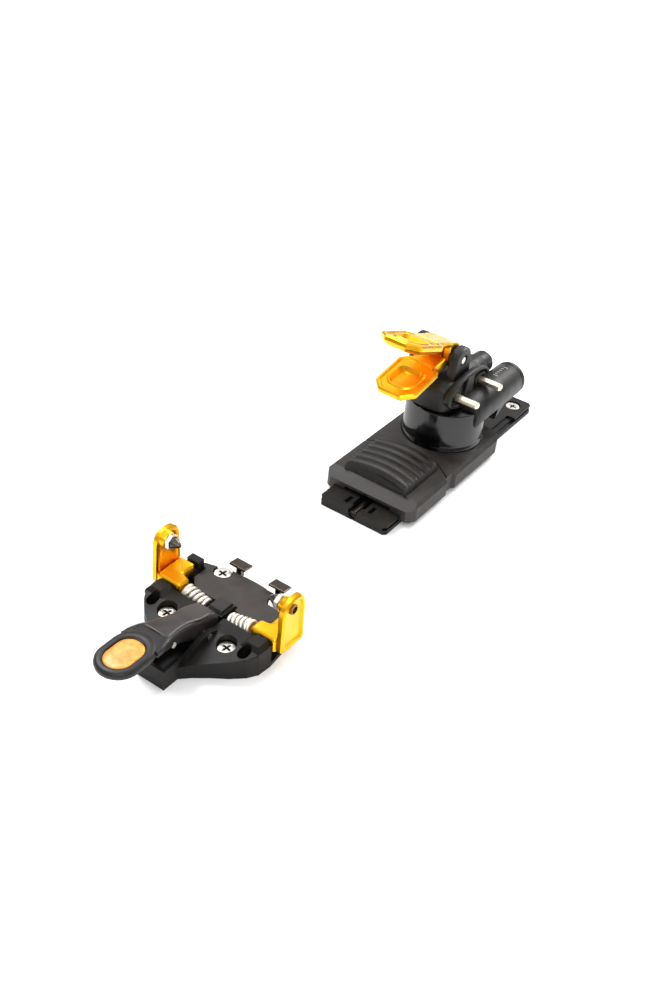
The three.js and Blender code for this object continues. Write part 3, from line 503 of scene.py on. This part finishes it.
# ---------------------------------------------------------------- heel housing
# Moulded nylon housing with two ears for the lifters, a lens-shaped flange round the
# heel pins, the long lateral release barrel and the short vertical release boss.
LIFT_X, LIFT_Y, LIFT_Z = 3, -8, 69.5  # middle of the lifter axle, in mm, as are all places here
BARREL = (16, 37)                     # Y and Z of the release barrel's axis
HEEL_PIN_Z, FLANGE_Z = 51, 51.6
housing_nylon = moulded_nylon("housing_black_nylon", "0D0B0A", "191614", 0.8, 0.48, 0.2, 0.35)
core = [[20, -22], [24, -8], [24, 6], [19, 11.8], [-22, 11.8], [-24, 0], [-22, -14], [-16, -22]]
crown = ((1.0, 40.95), (0.1, 41.4), (0, 42.4), (0, 53), (0.5, 55), (1.6, 56.8), (3.4, 58.4), (5.6, 59.6),
         (7.0, 60))
loft("housing_core",
     [np.column_stack([outline(core, 7, inset, 144, (0, -4)), np.full(144, z)]) for inset, z in crown],
     housing_nylon, "turret", ["heel_housing"], 60)
bridge = [[-22, 6], [6, 6], [6, 19], [-22, 19]]
loft("barrel_bridge", [np.column_stack([outline(bridge, 3, inset, 80), np.full(80, z)]) for inset, z in (
    (0, 40.95), (0, 43), (1, 45.6), (2.6, 47.2))], housing_nylon, "turret", sharp=60)
ear = [[-7, 56], [13, 56], [10.8, 77.3], [-4.8, 77.3]]
bore = [[LIFT_X + 4 * math.cos(k), LIFT_Z + 4 * math.sin(k)] for k in np.radians(np.arange(22.5, 382, 45))]
for name, inner, outer in (("ear_near", 2.4, 8.6), ("ear_far", -18.4, -24.6)):
    out = math.copysign(1, outer - inner)
    rings = []
    for inset, y in ((0.8, inner), (0, inner + 0.7 * out), (0, outer - 1.0 * out),
                     (0.4, outer - 0.3 * out), (1.3, outer)):
        ring = outline(ear, [1.5, 1.5, 7.6, 7.6], inset, 120, (LIFT_X, LIFT_Z))
        rings.append(np.stack([ring[:, 0], np.full(120, y), ring[:, 1]], -1))
    for inset, y in ((0, outer), (0.3, outer - 0.4 * out), (0.4, outer - 1.7 * out)):
        ring = outline(bore, 1.5, inset, 120, (LIFT_X, LIFT_Z))
        rings.append(np.stack([ring[:, 0], np.full(120, y), ring[:, 1]], -1))
    loft(name, rings, housing_nylon, "turret")
t = np.linspace(0, 2 * np.pi, 160, endpoint=False)
rings = []
for inset, y in ((0.5, 10.0), (0, 10.8), (0, 13.2), (0.3, 13.9), (0.9, 14.1), (1.6, 13.9), (2.0, 13.0),
                 (2.2, 11.6)):
    lens_x, lens_z = 25 - inset * 1.4, 10.6 - inset
    rings.append(np.stack([lens_x * np.sign(np.cos(t)) * np.abs(np.cos(t)) ** 0.9, np.full(160, y),
                           FLANGE_Z + lens_z * np.sign(np.sin(t)) * np.abs(np.sin(t)) ** 1.15], -1))
loft("pin_flange", rings, housing_nylon, "turret", sharp=50)


def upright(points, rounding, layers, count=80):
    """Rings of one outline drawn in X and Z, each at its own (inset, Y)."""
    made = []
    for inset, y in layers:
        ring = outline(points, rounding, inset, count)
        made.append(np.stack([ring[:, 0], np.full(count, y), ring[:, 1]], -1))
    return made


block = [[-5.2, 44.4], [5.2, 44.4], [3.6, 59.6], [-3.6, 59.6]]
loft("flange_rib", upright(block, 1.2, ((0, 11.0), (0, 13.4), (0.5, 14.1))),
     housing_nylon, "turret")
for name, mid in (("pin_slot_front", 15.2), ("pin_slot_rear", -15.2)):
    hole = [[mid - 4.8, 48], [mid + 4.8, 48], [mid + 4.8, 54], [mid - 4.8, 54]]
    layers = ((-1.4, 11.2), (-1.4, 12.6), (-0.9, 13.1), (0.1, 13.1), (0.2, 12.3))
    loft(name + "_collar", upright(hole, 4, layers), housing_nylon, "turret", sharp=50)
    # A near-black sheet in each slot is painted shade.
    loft(name, upright(hole, 3.6, ((0.2, 11.4), (0.2, 12.5))), painted_shade_black, "turret")
turned("release_barrel", [(7.5, 8.4), (7.2, 9.6), (6.0, 10.7), (4.6, 11.1), (-48.2, 11.1), (-49.0, 10.8),
                          (-49.2, 10.0)],
       BARREL, "X", housing_nylon, "turret", (), 96)
turned("vertical_boss", [(-20, 8.6), (-32.2, 8.6), (-33, 8.2), (-33.1, 7.3), (-42.2, 7.2), (-43, 6.8),
                         (-43.1, 5.6), (-36, 5.5)], (0, 47), "X", housing_nylon, "turret")
rings = []
for x, low_z in ((-25.6, 20.4), (-28, 21.6), (-34, 25.0), (-40, 28.2), (-44, 30.0)):
    web = outline([[9.2, low_z], [23.0, low_z], [24.5, 34], [7.6, 34]], 1.5, 0, 60)
    rings.append(np.stack([np.full(60, x), web[:, 0], web[:, 1]], -1))
loft("barrel_cradle", rings, housing_nylon, "turret", sharp=50)

# ---------------------------------------------------------------- release caps
# Screw caps close the barrel and the boss. A coin slot sets how hard each spring pushes.
turned("lateral_cap_rim", [(-49.4, 10.4), (-49.6, 10.9), (-52.2, 10.9), (-52.8, 10.5), (-53, 9.8), (-53, 8.6),
                           (-52.4, 8.2)], BARREL, "X", housing_nylon, "cap_lateral",
       ["release_cap_lateral"], 96)
groove = outline([[11.0, 36.0], [21.0, 36.0], [21.0, 38.0], [11.0, 38.0]], 0.8, 0, 60)
# The coin slot is a near-black strip on the cap face: painted shade, with no groove cut.
loft("lateral_cap_slot", [np.column_stack([np.full(60, x), groove]) for x in (-52.0, -52.45)],
     painted_shade_black, "cap_lateral")
keep_cad(["release_cap_vertical"], housing_nylon, 0.0004)

# ---------------------------------------------------------------- heel pins
# Two six-sided bars, satin nickel plated, with chamfered ends. They spring apart to let
# the boot go.
nickel = plated("satin_nickel_pins", "E9E0C6", 0.3)
for name, body, x in (("heel_bar_front", "pin_front", 14.3), ("heel_bar_rear", "pin_rear", -14.3)):
    corner = np.radians(np.arange(30, 390, 60))
    bar = np.stack([x + 2.75 * np.cos(corner), HEEL_PIN_Z + 2.5 * np.sin(corner)], 1)
    loft(name, upright(bar, 0.5, ((0, 2.0), (0, 27.2), (0.7, 28.0)), 72), nickel, body,
         ["heel_" + body])

# ---------------------------------------------------------------- climbing lifters
# Two milled paddles, gold anodised, turn on one steel axle between the ears: the lower
# lies nearly level, the upper stands higher for steep ground.


def lifted(s, w, h, tilt):
    """Puts lifter points in place: s along the arm, w across it, h above it, at tilt degrees."""
    c, k = math.cos(math.radians(tilt)), math.sin(math.radians(tilt))
    return np.stack([LIFT_X + s * c - h * k, w + LIFT_Y + 0 * s, LIFT_Z + s * k + h * c], -1)


lifter_shape = {"lower": (20, 56.5, 0.2, 6.2, -9.5), "upper": (24, 63.5, 2.6, 8.6, 21.4)}
for which, (s0, s1, h0, h1, tilt) in lifter_shape.items():
    body = "lifter_" + which
    mid = (s0 + s1) / 2 + 1
    paddle = [[s0, -9], [s0 + 5, -14], [s1 - 7, -14], [s1, -7.4], [s1, 7.4], [s1 - 7, 14], [s0 + 5, 14],
              [s0, 9]]
    dish = [[mid - 8.5, -6.2], [mid - 5.5, -8], [mid + 5, -8], [mid + 9, -4], [mid + 9, 4], [mid + 5, 8],
            [mid - 5.5, 8], [mid - 8.5, 6.2]]
    rings = []
    for shape, inset, h in ((paddle, 3.4, h0), (paddle, 0.5, h0 + 2.2), (paddle, 0, h0 + 2.9),
                            (paddle, 0, h1 - 1.1), (paddle, 0.9, h1), (paddle, 2.2, h1),
                            (paddle, 3.0, h1 - 0.9), (dish, -1.8, h1 - 0.9), (dish, -1.0, h1),
                            (dish, -0.1, h1), (dish, 1.3, h1 - 2.9), (dish, 2.2, h1 - 3.0)):
        ring = outline(shape, 1.4, inset, 144, (mid, 0))
        rings.append(lifted(ring[:, 0], ring[:, 1], np.full(144, h), tilt))
    loft(body + "_paddle", rings, gold, body, [body], 25)
    c = np.linspace(0, 2 * np.pi, 60, endpoint=False)
    box_w = np.sign(np.cos(c)) * np.abs(np.cos(c)) ** 0.35
    box_h = np.sign(np.sin(c)) * np.abs(np.sin(c)) ** 0.35
    if which == "lower":
        neck = ((28, 9.2, 1.0, 4.6), (22, 9.4, -1.6, 4.2), (13, 9.4, -3.8, 4.0), (8.8, 9.4, -4.0, 4.0),
                (8.2, 4.9, -4.0, 4.0), (0, 4.9, -3.8, 4.0))
    else:
        neck = ((32, 9.2, 4.0, 8.2), (22, 9.5, 5.2, 8.5), (8, 9.5, 5.4, 8.6), (-1, 9.5, 5.6, 8.6))
    rings = [lifted(np.full(60, s_), wide * box_w, (lo + hi) / 2 + (hi - lo) / 2 * box_h, tilt)
             for s_, wide, lo, hi in neck]
    loft(body + "_neck", rings, gold, body)
    if which == "lower":
        ends = [(-5.0, 4.0), (-4.6, 4.6), (4.6, 4.6), (5.0, 4.0)]
        rings = [lifted(r * np.cos(c), np.full(60, w), r * np.sin(c), tilt) for w, r in ends]
        loft(body + "_eye", rings, gold, body)
    else:
        lug = [[-5.4, -6.4], [6.2, -6.4], [9.8, 8.6], [-2.6, 8.6]]
        for side, sign in (("left", 1), ("right", -1)):
            rings = []
            for inset, w in ((0.6, 5.45), (0, 6.0), (0, 9.0), (0.7, 9.55)):
                ring = outline(lug, [5, 5, 1, 1], inset, 100, (1, 1))
                rings.append(lifted(ring[:, 0], np.full(100, sign * w), ring[:, 1], tilt))
            loft(body + "_lug_" + side, rings, gold, body)

# ---------------------------------------------------------------- scale marks
# Fine white pad-printed scale lines for the release setting, round the end of the barrel.
white_print = blank("white_pad_print")
ink = add_node(white_print, "ShaderNodeTexNoise", {"Scale": 1000 / 0.4, "Detail": 2.0},
               {"Vector": add_node(white_print, "ShaderNodeTexCoord").outputs["Object"]})
shade = add_node(white_print, "ShaderNodeMapRange", {1: 0.3, 2: 0.7, 3: 0.5, 4: 0.7}, {0: ink.outputs[0]})
face = add_node(white_print, "ShaderNodeBsdfPrincipled", {"Base Color": linear("C9C6C0")},
                {"Roughness": shade.outputs[0]})
add_node(white_print, "ShaderNodeOutputMaterial", {}, {"Surface": face.outputs[0]})
BARREL_R = 11.1
for i in range(6):
    reach = 0.30 if i % 5 == 0 else 0.18
    phi = np.linspace(math.radians(100) - reach, math.radians(100), 8)
    way = np.stack([np.cos(phi), np.sin(phi)], 1)
    ring = np.concatenate([(BARREL_R + 0.1) * way, (BARREL_R - 0.1) * way[::-1]]) + BARREL
    mark_x = -30.0 - 2.6 * i
    loft("barrel_mark_%d" % i, [np.column_stack([np.full(16, x), ring]) for x in (mark_x, mark_x - 0.35)],
         white_print, "turret")
